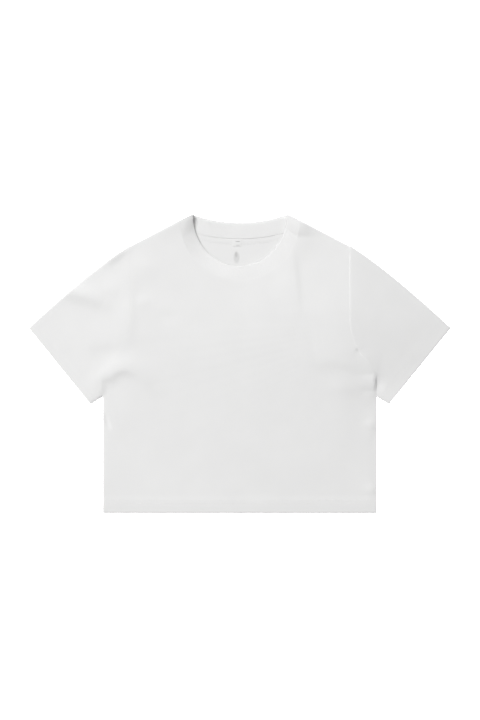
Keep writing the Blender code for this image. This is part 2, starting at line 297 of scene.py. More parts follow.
def detail(x, y):
    """Creases and waves, faded at the side folds so that the front and the back meet there."""
    side_fold = to_line(np.abs(x), y, np.array([[CHEST, HEM_Y], UNDERARM]))[0]
    small = waves(x, y, 3, 0.30, 0.0006) + waves(x, y, 5, 0.08, 0.00006)
    return (crease_height(x, y) + small) * (1 - 0.6 * bump(side_fold, 0.004))


def body_height(x, y):
    """The height of the middle of the front's cloth, above the surface."""
    ax = np.abs(x)
    neck = to_line(ax, y, NECK_SEAM)[0]
    seam = to_line(ax, y, ARMHOLE_LINE)[0]
    height = FRONT_MID + puff(x, y)
    dip = 0.38 * np.exp(-((x / 0.125) ** 2) - ((y - 0.175) / 0.090) ** 2)
    height = height - (height - NECK_LOW) * dip + detail(x, y)
    height = height - np.where(x > 0, 0.00006, 0.00002) * bump(seam, 0.0012)
    height = height - 0.00005 * bump(neck, 0.0014) + hem_profile(y - HEM_Y)
    return np.maximum(height, BACK_MID + 0.0013)


def sleeve_height(side, along, line):
    """The same for the upper side of a sleeve, for points across it at a share of the way to the cuff."""
    seam = sewn_end(np.linspace(0, 1, len(line)))
    falls = along**1.3 if side > 0 else 1 - (1 - along) ** 1.5
    start = np.minimum(1, np.linalg.norm(line - seam, axis=1) / 0.003)
    rise = puff(side * seam[:, 0], seam[:, 1]) * (1 - falls)
    cuff = to_line(line[:, 0], line[:, 1], CUFF_LINE)[0]
    height = FRONT_MID + rise + detail(side * line[:, 0], line[:, 1]) + SEAM_STEP[side] * (0.6 + 0.4 * start)
    return np.maximum(height + 0.3 * hem_profile(cuff, 0.0), BACK_MID + 0.0013)


print(f"at the right armhole the cloth stands {(FRONT_MID + PUFF[1]) * 1000:.1f} mm high, before the creases")

# %% [markdown]
# ## Turning grids into cloth
#
# A piece of cloth is a grid of points with its place on the flat cut kept as a UV map, in metres, so that
# the knit follows the cloth. Solidify gives it its thickness. The modifier is turned into plain mesh at
# once, and a sharp edge is kept only at the cut edges.


# %% Making a piece from grids
def cloth_piece(name, grids, thickness, wrap=False, material=None):
    """One shell from grids of points (rows, columns, 3) and cloth places (rows, columns, 2)."""
    mesh = bmesh.new()
    uv_layer = mesh.loops.layers.uv.new("cut")
    for points, places in grids:
        rows, columns = points.shape[:2]
        verts = [mesh.verts.new(p) for p in points.reshape(-1, 3)]
        places = places.reshape(-1, 2)
        last = columns if wrap else columns - 1
        for r in range(rows - 1):
            for c in range(last):
                n = (c + 1) % columns
                corners = (r * columns + c, r * columns + n, (r + 1) * columns + n, (r + 1) * columns + c)
                face = mesh.faces.new([verts[i] for i in corners])
                face.smooth = True
                for loop, i in zip(face.loops, corners):
                    loop[uv_layer].uv = places[i]
    bmesh.ops.remove_doubles(mesh, verts=mesh.verts, dist=1e-6)
    bmesh.ops.recalc_face_normals(mesh, faces=mesh.faces)
    data = bpy.data.meshes.new(name)
    mesh.to_mesh(data)
    mesh.free()
    piece = bpy.data.objects.new(name, data)
    bpy.context.scene.collection.objects.link(piece)
    wall = piece.modifiers.new("wall", "SOLIDIFY")
    wall.thickness = thickness
    wall.offset = 0.0
    finish_mesh(piece)
    if material:
        piece.data.materials.append(material)
    return piece


def finish_mesh(piece, sharp=55):
    """Turns a piece with modifiers into a plain mesh, with edges past an angle in degrees kept sharp."""
    graph = bpy.context.evaluated_depsgraph_get()
    plain = bpy.data.meshes.new_from_object(piece.evaluated_get(graph))
    piece.modifiers.clear()
    old, piece.data = piece.data, plain
    bpy.data.meshes.remove(old)
    plain.name = piece.name
    plain.shade_smooth()
    if sharp:
        plain.set_sharp_from_angle(angle=math.radians(sharp))


def triangles(piece):
    return sum(len(face.vertices) - 2 for face in piece.data.polygons)


def mirrored(grid):
    points, places = grid
    return points * np.array([-1, 1, 1]), places * np.array([-1, 1])


# %% [markdown]
# ## Yarn and knit
#
# Plain jersey is rows of tiny V-shaped loops that stand in columns, called wales. A real loop is about 0.7
# mm wide, far too small to model, so it is bump on the cloth's own UV map. The same group serves every
# jersey piece, with its own sizes. A second group gives the faint unevenness that keeps white cotton from
# looking like paint: broad clouds, and slubs where the yarn is thicker.


# %% The knit and the unevenness as node groups
def new_group(name, inputs, outputs):
    tree = bpy.data.node_groups.new(name, "ShaderNodeTree")
    for label, kind, value in inputs:
        socket = tree.interface.new_socket(label, in_out="INPUT", socket_type=kind)
        if value is not None:
            socket.default_value = value
    for label, kind in outputs:
        tree.interface.new_socket(label, in_out="OUTPUT", socket_type=kind)
    return tree, tree.nodes.new("NodeGroupInput"), tree.nodes.new("NodeGroupOutput")


def set_inputs(node, **values):
    """Sets a node's inputs by their names, with _ for a space."""
    for label, value in values.items():
        node.inputs[label.replace("_", " ")].default_value = value


def math_node(tree, operation, a, b=None):
    node = tree.nodes.new("ShaderNodeMath")
    node.operation = operation
    for slot, value in zip(node.inputs, (a, b)):
        if isinstance(value, (int, float)):
            slot.default_value = value
        elif value is not None:
            tree.links.new(value, slot)
    return node.outputs[0]


def make_knit():
    tree, given, result = new_group(
        "jersey knit",
        [
            ("Vector", "NodeSocketVector", None),
            ("Wale", "NodeSocketFloat", 0.0007),
            ("Course", "NodeSocketFloat", 0.00055),
        ],
        [("Height", "NodeSocketFloat")],
    )
    split = tree.nodes.new("ShaderNodeSeparateXYZ")
    tree.links.new(given.outputs["Vector"], split.inputs[0])
    across = math_node(tree, "DIVIDE", split.outputs[0], given.outputs["Wale"])
    along = math_node(tree, "DIVIDE", split.outputs[1], given.outputs["Course"])
    in_wale = math_node(tree, "FRACT", across)
    off_middle = math_node(tree, "ABSOLUTE", math_node(tree, "SUBTRACT", in_wale, 0.5))
    column = math_node(tree, "SUBTRACT", 1.0, math_node(tree, "MULTIPLY", off_middle, 1.7))
    slanted = math_node(tree, "SUBTRACT", along, math_node(tree, "MULTIPLY", off_middle, 0.9))
    loop = math_node(tree, "SINE", math_node(tree, "MULTIPLY", slanted, 2 * math.pi))
    loop = math_node(tree, "ADD", math_node(tree, "MULTIPLY", loop, 0.28), 0.72)
    tree.links.new(math_node(tree, "MULTIPLY", column, loop), result.inputs["Height"])
    return tree


def make_unevenness():
    tree, given, result = new_group(
        "cotton unevenness",
        [
            ("Vector", "NodeSocketVector", None),
            ("Clouds", "NodeSocketFloat", 16.0),
            ("Slubs", "NodeSocketFloat", 900.0),
        ],
        [("Tone", "NodeSocketFloat"), ("Fuzz", "NodeSocketFloat")],
    )
    found = []
    for label, detail in (("Clouds", 3.0), ("Slubs", 2.0)):
        noise = tree.nodes.new("ShaderNodeTexNoise")
        tree.links.new(given.outputs["Vector"], noise.inputs["Vector"])
        tree.links.new(given.outputs[label], noise.inputs["Scale"])
        noise.inputs["Detail"].default_value = detail
        found.append(noise.outputs["Fac"])
    clouds, slubs = (math_node(tree, "MULTIPLY", fac, share) for fac, share in zip(found, (0.65, 0.35)))
    both = math_node(tree, "ADD", clouds, slubs)
    tree.links.new(both, result.inputs["Tone"])
    tree.links.new(found[1], result.inputs["Fuzz"])
    return tree


KNIT = make_knit()
UNEVEN = make_unevenness()
print("node groups:", KNIT.name, "and", UNEVEN.name)


# %% Cotton materials
def grey(value):
    return (value, value, value * 0.996, 1.0)


FOLD_SHADE_GREY = 0.60  # painted shade on the neckband's fold, greyer to tone down its lit edge
FOLD_FROM, FOLD_TO = 0.0068, 0.0044  # where its grey starts and is full, from its middle


def mixed(tree, colour, factor, value):
    """A colour mixed by a factor with a grey."""
    mix = tree.nodes.new("ShaderNodeMix")
    mix.data_type = "RGBA"
    mix.inputs["B"].default_value = grey(value)
    tree.links.new(factor, mix.inputs["Factor"])
    tree.links.new(colour, mix.inputs["A"])
    return mix.outputs["Result"]


def cotton(name, pale, deep, wale, course, bump_height, roughness=0.88, sheen=0.12, fold=None):
    """White cotton: its colour wanders between two whites, and the knit is bump on the cloth's UV map.

    fold is the place on the cut of a fold that gets painted shade, a little greyer: its V, and the U that it
    runs to.
    """
    material = bpy.data.materials.new(name)
    material.use_nodes = True
    tree = material.node_tree
    shader = tree.nodes["Principled BSDF"]
    set_inputs(shader, Roughness=roughness, Specular_IOR_Level=0.25, Sheen_Weight=sheen, Sheen_Roughness=0.55)
    cut = tree.nodes.new("ShaderNodeUVMap")
    cut.uv_map = "cut"
    uneven = tree.nodes.new("ShaderNodeGroup")
    uneven.node_tree = UNEVEN
    tree.links.new(cut.outputs["UV"], uneven.inputs["Vector"])
    tone = tree.nodes.new("ShaderNodeMix")
    tone.data_type = "RGBA"
    set_inputs(tone, A=grey(deep), B=grey(pale))
    tree.links.new(uneven.outputs["Tone"], tone.inputs["Factor"])
    colour = tone.outputs["Result"]
    # painted shade: near the fold the colour is mixed towards a grey
    if fold:
        split = tree.nodes.new("ShaderNodeSeparateXYZ")
        tree.links.new(cut.outputs["UV"], split.inputs[0])
        off = math_node(tree, "ABSOLUTE", math_node(tree, "SUBTRACT", split.outputs[1], fold[0]))
        near = tree.nodes.new("ShaderNodeMapRange")
        set_inputs(near, From_Min=FOLD_FROM, From_Max=FOLD_TO)
        tree.links.new(off, near.inputs["Value"])
        there = math_node(tree, "LESS_THAN", split.outputs[0], fold[1])
        painted_shade = math_node(tree, "MULTIPLY", near.outputs["Result"], there)
        colour = mixed(tree, colour, painted_shade, FOLD_SHADE_GREY)
    tree.links.new(colour, shader.inputs["Base Color"])
    knit = tree.nodes.new("ShaderNodeGroup")
    knit.node_tree = KNIT
    set_inputs(knit, Wale=wale, Course=course)
    tree.links.new(cut.outputs["UV"], knit.inputs["Vector"])
    fuzz = math_node(tree, "MULTIPLY", uneven.outputs["Fuzz"], 0.5)
    height = math_node(tree, "ADD", knit.outputs["Height"], fuzz)
    relief = tree.nodes.new("ShaderNodeBump")
    set_inputs(relief, Strength=0.35, Distance=bump_height)
    tree.links.new(height, relief.inputs["Height"])
    tree.links.new(relief.outputs["Normal"], shader.inputs["Normal"])
    return material


JERSEY_KNIT = (0.90, 0.84, 0.00072, 0.00056, 0.00012)  # two whites, a wale, a course, the bump's height
JERSEY = cotton("white jersey", *JERSEY_KNIT)
# the rib's fold gets painted shade, a grey mixed into its colour
RIB_COTTON = cotton("white rib", 0.90, 0.84, 0.00080, 0.00060, 0.00010, fold=(0.0275, 0.29))
TAPE_COTTON = cotton("white tape", 0.89, 0.83, 0.00090, 0.00045, 0.00010)
THREAD = cotton("white thread", 0.92, 0.88, 0.00030, 0.00030, 0.00004, roughness=0.6)
print("materials:", [m.name for m in bpy.data.materials])

# %% [markdown]
# ## The front
#
# The front is cut in one, and its grid runs the way the cloth does: rows from the hem to the shoulders,
# whose inner ends follow first the middle line and then the neckline, and whose outer ends follow the side
# fold and the armhole. At the side and the shoulder the last points roll over a quarter of a circle, down to
# the back. At the armhole and the neck they stop at the seam. Below the hem's edge the grid turns under and
# runs back up inside: that is the turned-up hem, and it shows when one looks in from below.


# %% Rows of the front and the back
NECK_RUN = 0.165  # half a neckline, for how many rows end on it


def panel_lines(middle_y, fine):
    """The inner and the outer ends of the rows of the right half."""
    low = np.arange(HEM_Y, ARMPIT[1], fine)
    side = np.stack([np.full(len(low), CHEST), low], axis=1)
    centre = np.stack([np.zeros(len(low)), low], axis=1)
    rise = max(4, int((middle_y - ARMPIT[1]) / fine))
    round_it = int(NECK_RUN / fine)
    up = np.stack([np.zeros(rise), np.linspace(ARMPIT[1], middle_y, rise)], axis=1)
    arc = neck_arc(SEAM_CORNER, middle_y, np.linspace(0, math.pi / 2, round_it + 1)[1:])
    share = rise / (rise + 0.62 * round_it)
    t = np.concatenate([np.linspace(1, 1 - share, rise), np.linspace(1 - share, 0.012, round_it + 1)[1:]])
    return np.concatenate([centre, up, arc]), np.concatenate([side, armhole(t)])


def half_panel(middle_y, fine, height, edge_z, away_from):
    """The right half of a panel: its points, and their places on the cut.

    edge_z is the height that a rolled edge ends at. away_from is 1 if the panel's outer side faces up.
    """
    inner, outer = panel_lines(middle_y, fine)
    out = unit(outer - inner)
    rolled = 1 - ease((outer[:, 1] - UNDERARM[1] + 0.006) / 0.010)
    base_end = outer - out * FOLD_R  # the armhole's rows reach the seam itself
    columns = int(CHEST / fine)
    share = np.linspace(0, 1, columns)[None, :, None]
    flat = inner[:, None] + (base_end - inner)[:, None] * share
    steps = np.linspace(0, 1, 7)[1:]
    roll_x = np.sin(steps * math.pi / 2)
    roll_z = 1 - np.cos(steps * math.pi / 2)
    mix = rolled[:, None]
    reach = (mix * roll_x + (1 - mix) * steps) * FOLD_R
    edge = base_end[:, None] + out[:, None] * reach[..., None]
    plan = np.concatenate([flat, edge], axis=1)
    z = height(plan[..., 0], plan[..., 1])
    start_z = z[:, columns - 1 : columns]
    z[:, columns:] = mix * (start_z - (start_z - edge_z) * roll_z) + (1 - mix) * z[:, columns:]

    # over the shoulder
    roll = [(plan, z)]
    top, top_z = plan[-1], z[-1]
    for sx, sz in zip(roll_x, roll_z):
        roll.append(((top + SHOULDER_OUT * FOLD_R * 1.3 * sx)[None], (top_z - (top_z - edge_z) * sz)[None]))
    plan = np.concatenate([p for p, _ in roll])
    z = np.concatenate([h for _, h in roll])
    places = plan.copy()
    points = np.concatenate([plan, z[..., None]], axis=2)

    # the hem's edge and its turned-up ply
    edge_row, ply = points[0], []
    for turn in np.linspace(0, math.pi, 6)[1:]:
        row = edge_row.copy()
        row[:, 1] = edge_row[:, 1] - PLY / 2 * math.sin(turn)
        row[:, 2] = edge_row[:, 2] - away_from * PLY / 2 * (1 - math.cos(turn))
        ply.append(row)
    for y in np.linspace(HEM_Y, HEM_Y + HEM, 8)[1:]:
        row = edge_row.copy()
        row[:, 1] = y
        row[:, 2] = edge_row[:, 2] - away_from * PLY
        ply.append(row)
    ply = np.array(ply[::-1])
    ply_places = ply[..., :2].copy()
    ply_places[..., 1] = 2 * HEM_Y - ply_places[..., 1]
    return np.concatenate([ply, points]), np.concatenate([ply_places, places])


def panel(name, middle_y, fine, height, edge_z, away_from, thickness, material):
    right = half_panel(middle_y, fine, height, edge_z, away_from)
    left = half_panel(middle_y, fine, lambda x, y: height(-x, y), edge_z, away_from)
    return cloth_piece(name, [right, mirrored(left)], thickness, material=material)


FOLD_MIDDLE = BACK_MID + FOLD_R
front = panel("front", FRONT_BAND_Y[1], FINE, body_height, FOLD_MIDDLE + 0.0001, 1, CLOTH, JERSEY)
print("front:", triangles(front), "triangles")

# %% [markdown]
# ## The back
#
# The back lies flat on the surface, so it takes a coarser grid. Its few shallow creases lift off the
# surface, never below it: they are the ones that a shirt keeps when it is laid down and smoothed from the
# front.

# %% The back
BACK_CREASES = (
    ("under the left arm", -0.2300, -0.0300, -0.1900, -0.0100, -0.1500, -0.0500, 0.0150, 0.0090, 0.5),
    ("under the right arm", 0.2300, -0.0250, 0.1850, -0.0050, 0.1450, -0.0350, 0.0100, 0.0150, 0.5),
    ("right blade", 0.1500, 0.1700, 0.1350, 0.1000, 0.1450, 0.0300, 0.0140, 0.0100, 0.35),
    ("left blade", -0.1550, 0.1500, -0.1400, 0.0900, -0.1600, 0.0200, 0.0100, 0.0140, 0.35),
    ("across the waist", -0.1000, -0.1500, 0.0200, -0.1350, 0.1300, -0.1600, 0.0150, 0.0200, 0.3),
)


def lower_height(x, y):
    ax = np.abs(x)
    inside = 1 - bump(to_line(ax, y, np.array([[CHEST, HEM_Y], ARMPIT]))[0], 0.012)
    away = y - HEM_Y
    grooves = sum(bump(away - needle, 0.0012) for needle in NEEDLES) * 0.00012
    return BACK_MID + crease_height(x, y, BACK_CREASES) * inside + grooves


back = panel("back", BACK_BAND_Y[1], COARSE, lower_height, FOLD_MIDDLE - 0.0001, -1, CLOTH, JERSEY)
print("back:", triangles(back), "triangles")

# %% [markdown]
# ## The sleeves
#
# A sleeve is a short tube pressed flat. It is made of loops, each of which runs down the upper side, round
# the underarm fold, back along the lower side and round the overarm fold. The first loop follows the armhole
# and the last the cuff, where the loops turn in and run back for the depth of the hem.

# %% Loops of a sleeve
SLEEVE_POINTS = 78  # across the upper side


def sleeve_line(along, share):
    """Points across the sleeve, each at its share of the way from the armhole to the cuff."""
    along = np.broadcast_to(along, share.shape)
    start, end = sewn_end([0.0])[0], sewn_end([1.0])[0]
    overarm = bend(start, OVERARM_CORNER, CUFF_TOP, along)
    underarm = straight(end, CUFF_LOW, along)
    curve = sewn_end(share) - straight(start, end, share)
    at_cuff = np.interp(share, [0, ARMPIT_SHARE, 1], [0, ARMPIT_AT_CUFF, 1])
    flat = straight(overarm, underarm, share + (at_cuff - share) * along)
    return flat + curve * ((1 - along) ** 1.5)[:, None]


SLEEVE_AXIS = unit(np.array([CUFF_LOW[1] - CUFF_TOP[1], -(CUFF_LOW[0] - CUFF_TOP[0])]) * -1)


def sleeve_loop(along, inwards, beyond, side):
    """One loop of a sleeve. inwards is how far it lies inside the outer ply, beyond how far past its line."""
    share = np.linspace(0, 1, SLEEVE_POINTS)
    line = sleeve_line(along, share)
    start_out, end_out = unit(line[0] - line[1]), unit(line[-1] - line[-2])
    line[0] -= start_out * FOLD_R
    line[-1] -= end_out * FOLD_R
    line[1:3] = straight(line[0], line[3], [1 / 3, 2 / 3])
    line[-3:-1] = straight(line[-4], line[-1], [1 / 3, 2 / 3])
    line = line + SLEEVE_AXIS * beyond
    z = sleeve_height(side, along, line) - inwards
    turn = np.linspace(0, math.pi, 9)[1:-1]

    def fold(spot, out, top, up):
        """Half an ellipse from the upper cloth to the lower, or back."""
        plan = spot + out * (FOLD_R - inwards) * np.sin(turn)[:, None]
        low = BACK_MID + inwards
        tall = (top + low) / 2 + up * (top - low) / 2 * np.cos(turn)
        return np.concatenate([plan, tall[:, None]], axis=1)

    lower = line[::-2]
    top = np.concatenate([line, z[:, None]], axis=1)
    under = np.concatenate([lower, np.full((len(lower), 1), BACK_MID + inwards)], axis=1)
    underarm, overarm = fold(line[-1], end_out, z[-1], 1), fold(lower[-1], start_out, z[0], -1)
    loop = np.concatenate([top, underarm, under, overarm])
    loop[:, 0] *= side
    return loop


def sleeve(name, side):
    length = np.linalg.norm(CUFF_TOP - SHOULDER_END)
    count = int(length / FINE)
    share = np.linspace(0, 1, SLEEVE_POINTS)
    lengths = np.linalg.norm(sleeve_line(1.0, share) - sleeve_line(0.0, share), axis=1)
    stations = [(a, 0.0, 0.0) for a in np.linspace(0, 1, count)]
    stations[-1] = (1.0, 0.0, -PLY / 2)
    for turn in np.linspace(0, math.pi, 6)[1:]:
        stations.append((1.0, PLY / 2 * (1 - math.cos(turn)), PLY / 2 * (math.sin(turn) - 1)))
    deep = np.minimum(HEM, 0.85 * lengths)  # near the underarm the sleeve is no longer than its hem
    stations += [(1 - deep / lengths * i / 7, PLY, 0.0) for i in range(1, 8)]
    loops = np.array([sleeve_loop(along, inwards, beyond, side) for along, inwards, beyond in stations])
    runs = np.concatenate([[0], np.cumsum(np.linalg.norm(np.diff(loops[:, 0], axis=0), axis=1))])
    around = np.linalg.norm(np.diff(loops[len(loops) // 2], axis=0), axis=1)
    around = np.concatenate([[0], np.cumsum(around)])
    places = np.stack(np.broadcast_arrays(around[None, :] + 0.3 * side, -runs[:, None]), axis=2)
    return cloth_piece(name, [(loops, places)], CLOTH, wrap=True, material=JERSEY)


sleeve_right = sleeve("sleeve_on_the_right", 1)
sleeve_left = sleeve("sleeve_on_the_left", -1)
print("sleeves:", triangles(sleeve_right), "triangles each")

# %% [markdown]
# ## The neckband
#
# The neckband is a strip of rib folded in half along its length, closed into a ring and sewn into the neck,
# so its free edge is a fold and its other edge the seam. The ribs are real shape here: the ring has four
# stations to each rib, and every second pair stands out. On the shoulders the ring turns over, from the
# front of the shirt to the back.

# %% Stations round the ring, and the section of the band
RIB_PITCH = 0.0015
RIB_HEIGHT = 0.00010
BAND_BACK_MID = 0.00078
BAND_EDGE_LOW = 0.00092  # height of the free edge where it rests on the back, in front
BAND_HALF = 0.00020  # from the middle of the band to the middle of either ply
RIB_CLOTH = 0.00036
BAND_WIDTH = 0.0246  # from its seam to its free edge


def evenly(line_a, line_b, step):
    """Shares along a pair of lines so that the points lie step apart midway between them."""
    middle = (line_a + line_b) / 2
    run = np.concatenate([[0], np.cumsum(np.linalg.norm(np.diff(middle, axis=0), axis=1))])
    count = max(8, 4 * round(run[-1] / step / 4))
    return np.interp(np.linspace(0, run[-1], count + 1), run, np.linspace(0, 1, len(run)))


def along_lines(line, shares):
    at = np.linspace(0, 1, len(line))
    return np.stack([np.interp(shares, at, line[:, k]) for k in range(2)], axis=1)


def front_band_heights(seam_line, edge_line):
    """The seam keeps the front's height. The free edge stands on the right, and at the left corner."""
    seam_z = body_height(seam_line[:, 0], seam_line[:, 1]) - 0.00005
    corner = bump((EDGE_CORNER[1] - edge_line[:, 1]), 0.019)
    right = ease((edge_line[:, 0] + 0.075) / 0.085)
    share = (0.16 + 0.84 * corner) * (1 - right) + 0.80 * right
    edge_z = BAND_EDGE_LOW + (seam_z - BAND_EDGE_LOW) * share
    return seam_z, edge_z


def make_neckband():
    angles = np.linspace(math.pi / 2, -math.pi / 2, 400)
    seam_front = neck_arc(SEAM_CORNER, FRONT_BAND_Y[1], angles)
    edge_front = neck_arc(EDGE_CORNER, FRONT_BAND_Y[0], angles)
    seam_back = neck_arc(SEAM_CORNER, BACK_BAND_Y[1], angles)
    edge_back = neck_arc(EDGE_CORNER, BACK_BAND_Y[0], angles)
    drop = EDGE_CORNER[1] - BACK_BAND_Y[0]
    edge_back[:, 1] = EDGE_CORNER[1] - drop * (1 - (edge_back[:, 0] / EDGE_CORNER[0]) ** 2)
    step = RIB_PITCH / 4
    seam, edge, normal, in_front = [], [], [], []

    def lay(seam_line, edge_line, heights, up):
        shares = evenly(seam_line, edge_line, step)[:-1]
        plans = [along_lines(line, shares) for line in (seam_line, edge_line)]
        if heights is None:
            tall = [np.full(len(shares), BAND_BACK_MID)] * 2
        else:
            tall = heights(*plans)
        for kept, plan, z in zip((seam, edge), plans, tall):
            kept.append(np.column_stack([plan, z]))
        normal.append(np.tile([0.0, 0.0, up], (len(shares), 1)))
        in_front.append(np.full((len(shares), 1), float(heights is not None)))
        return tall[0][0], tall[1][0]

    def turn_over(side, from_front, tops):
        out = np.array([side * SHOULDER_OUT[0], SHOULDER_OUT[1]])
        turn = np.linspace(0, math.pi, 13)[:-1]
        if not from_front:
            turn = math.pi - turn
        way = np.stack([out[0] * np.sin(turn), out[1] * np.sin(turn), np.cos(turn)], axis=1)
        for kept, corner, top in ((seam, SEAM_CORNER, tops[0]), (edge, EDGE_CORNER, tops[1])):
            radius = (top - BAND_BACK_MID) / 2
            spot = np.array([side * corner[0], corner[1], (top + BAND_BACK_MID) / 2])
            kept.append(spot + way * np.array([0.0012, 0.0012, radius]))
        normal.append(way)
        in_front.append(np.ones((len(way), 1)))

    def tops_at(side):
        spots = np.array([SEAM_CORNER, EDGE_CORNER]) * np.array([side, 1])
        seam_z, edge_z = front_band_heights(spots[:1], spots[1:])
        return seam_z[0], edge_z[0]

    lay(seam_front, edge_front, front_band_heights, 1.0)
    turn_over(-1, True, tops_at(-1))
    lay(seam_back[::-1], edge_back[::-1], None, -1.0)
    turn_over(1, False, tops_at(1))
    seam, edge, normal, in_front = (np.concatenate(kept) for kept in (seam, edge, normal, in_front))
    across = edge - seam
    width = np.linalg.norm(across, axis=1, keepdims=True)
    across = across / width

    # the section: over the outer ply from the seam, round the fold, back along the inner ply
    outer = np.linspace(0.0, 1.0, 11)
    section = [(v, 1.0, 0.0) for v in outer]
    section += [(1.0, math.cos(a), math.sin(a)) for a in np.linspace(0, math.pi, 6)[1:-1]]
    section += [(v, -1.0, 0.0) for v in outer[::-2]]
    ribs = np.where(np.arange(len(seam)) % 4 < 2, 1.0, -1.0)[:, None]
    gathers = 0.45 + 0.45 * np.sin(seam[:, :1] * 2 * math.pi / 0.031 + 1.0)
    pulled = np.maximum(in_front, gathers)  # by the seam
    grid, places = [], []
    run = np.arange(len(seam)) * step
    for i, (v, up, past) in enumerate(section):
        spot = seam + across * (v * (width - BAND_HALF - RIB_CLOTH / 2)) + across * past * BAND_HALF
        tuck = 1 - 0.55 * pulled * bump(np.array(v * BAND_WIDTH), 0.0040)
        lift = up * (BAND_HALF * tuck + RIB_HEIGHT * ribs * ease(v / 0.15) * 0.5 * (1 + abs(up)))
        grid.append(spot + normal * lift)
        places.append(np.stack([run, np.full(len(run), i * 0.0022)], axis=1))
    points = np.array(grid)
    return cloth_piece("neckband", [(points, np.array(places))], RIB_CLOTH, wrap=True, material=RIB_COTTON)


neckband = make_neckband()
print("neckband:", triangles(neckband), "triangles")

# %% [markdown]
# ## Neck tape and size tab
#
# Inside the back a strip of the shirt's own cloth covers the neck seam, sewn down along both edges. Under it
# hangs a small folded label. The label is plain here: two short bars stand where a size would be printed.


# %% Tape and tab
TAPE_WIDTH = 0.010
TAPE_AWAY = 0.0008  # from the neck seam to the tape
TAPE_NEEDLES = (0.0013, 0.0087)  # its two rows of stitches, from its upper edge


def back_arc(angles, away):
    return neck_arc(SEAM_CORNER, BACK_BAND_Y[1], angles, away)


def make_tape():
    angles = np.linspace(-1, 1, 121) * math.radians(76)
    rows, places = [], []
    for share in np.linspace(0, 1, 9):
        plan = back_arc(angles, TAPE_AWAY + TAPE_WIDTH * share)
        crown = 0.00009 * math.sin(math.pi * share) ** 2
        z = np.full(len(plan), BACK_MID + CLOTH / 2 - 0.00011 + crown)
        rows.append(np.column_stack([plan, z]))
        places.append(np.column_stack([angles * 0.1, np.full(len(angles), TAPE_WIDTH * share)]))
    return cloth_piece("neck_tape_strip", [(np.array(rows), np.array(places))], 0.0003, material=TAPE_COTTON)


def make_tab():
    """A loop of ribbon: down on top, round the bottom fold, and back up underneath."""
    across = np.linspace(tab_low.x + 0.001, tab_high.x - 0.001, 13)
    length = tab_high.y - tab_low.y
    top = [(y, 1.0) for y in np.linspace(tab_high.y, tab_low.y, 9)]
    low = [(y, -1.0) for y in np.linspace(tab_low.y, tab_high.y, 9)]
    turn = [(tab_low.y - 0.0003 * math.sin(a), math.cos(a)) for a in np.linspace(0, math.pi, 5)[1:-1]]
    rows, places = [], []
    for i, (y, ply) in enumerate(top + turn + low):
        down = (tab_high.y - y) / length
        hang = 0.00018 * ease((down - 0.60) / 0.40)
        ripple = 0.00002 * np.sin((across - tab_low.x) * 260)
        z = BACK_MID + CLOTH / 2 + 0.00027 - hang + ripple + 0.00007 * ply
        rows.append(np.column_stack([across, np.full(len(across), y), z]))
        places.append(np.column_stack([across, np.full(len(across), 0.0013 * i)]))
    return cloth_piece("size_tab_loop", [(np.array(rows), np.array(places))], 0.00013)


tape = make_tape()
tab = make_tab()
print("tape and tab:", triangles(tape), "and", triangles(tab), "triangles")


# %% [markdown]
# ## Printed places
#
# Two places carry print: the label's size and a small mark on the inside of the back. Neither is copied.
# Each gets a plain shape instead, made in its material as a mask that is 1 inside the shape and 0 outside,
# so that the print lies in the cloth and takes its knit.


# %% Print as masks
def soft_oval(tree, place, middle, half, softness):
    """A mask: 1 inside an oval in the plan, 0 outside."""
    move = tree.nodes.new("ShaderNodeVectorMath")
    move.operation = "SUBTRACT"
    move.inputs[1].default_value = (*middle, 0.0)
    tree.links.new(place, move.inputs[0])
    size = tree.nodes.new("ShaderNodeVectorMath")
    size.operation = "MULTIPLY"
    size.inputs[1].default_value = (1 / half[0], 1 / half[1], 0.0)
    tree.links.new(move.outputs[0], size.inputs[0])
    length = tree.nodes.new("ShaderNodeVectorMath")
    length.operation = "LENGTH"
    tree.links.new(size.outputs[0], length.inputs[0])
    mask = tree.nodes.new("ShaderNodeMapRange")
    set_inputs(mask, From_Min=1.0 + softness, From_Max=1.0 - softness)
    tree.links.new(length.outputs["Value"], mask.inputs["Value"])
    return mask.outputs["Result"]


def print_on(material, ovals):
    """Mixes an ink into the material's colour inside each oval."""
    tree = material.node_tree
    shader = tree.nodes["Principled BSDF"]
    colour = shader.inputs["Base Color"].links[0].from_socket
    place = tree.nodes.new("ShaderNodeTexCoord").outputs["Object"]
    for middle, half, softness, ink in ovals:
        colour = mixed(tree, colour, soft_oval(tree, place, middle, half, softness), ink)
    tree.links.new(colour, shader.inputs["Base Color"])


MARK = (
    # middle, half its width and height, softness, ink
    ((-0.0056, 0.1850), (0.0050, 0.0096), 0.30, 0.74),
    ((-0.0063, 0.1900), (0.0023, 0.0046), 0.40, 0.62),
)
BACK_JERSEY = cotton("white jersey with a neck mark", *JERSEY_KNIT)
print_on(BACK_JERSEY, MARK)
back.data.materials.clear()
back.data.materials.append(BACK_JERSEY)

RIBBON = cotton("white ribbon", 0.90, 0.87, 0.00035, 0.00035, 0.00004, roughness=0.5, sheen=0.05)
tab_x = (tab_low.x + tab_high.x) / 2 + 0.0018
BARS = ((0.0040, 0.0042, 0.52), (0.0105, 0.0036, 0.68))  # below the tab's top, half the length, ink
bars = [((tab_x, tab_high.y - down), (half, 0.0007), 0.2, ink) for down, half, ink in BARS]
print_on(RIBBON, bars)
tab.data.materials.append(RIBBON)
print("printed places:", 1 + len(bars))

# %% [markdown]
# ## Stitches
#
# The hem and the cuffs are sewn with a twin needle, which leaves two rows of short straight stitches, and
# the tape is sewn down along both edges. A row is the same stitch over and over, so Geometry Nodes make it:
# the line is resampled at the stitch's pitch, and a small bead of thread is set along it at each point. The
# lines lie on the cloth, in the grooves that the height function cut for them.


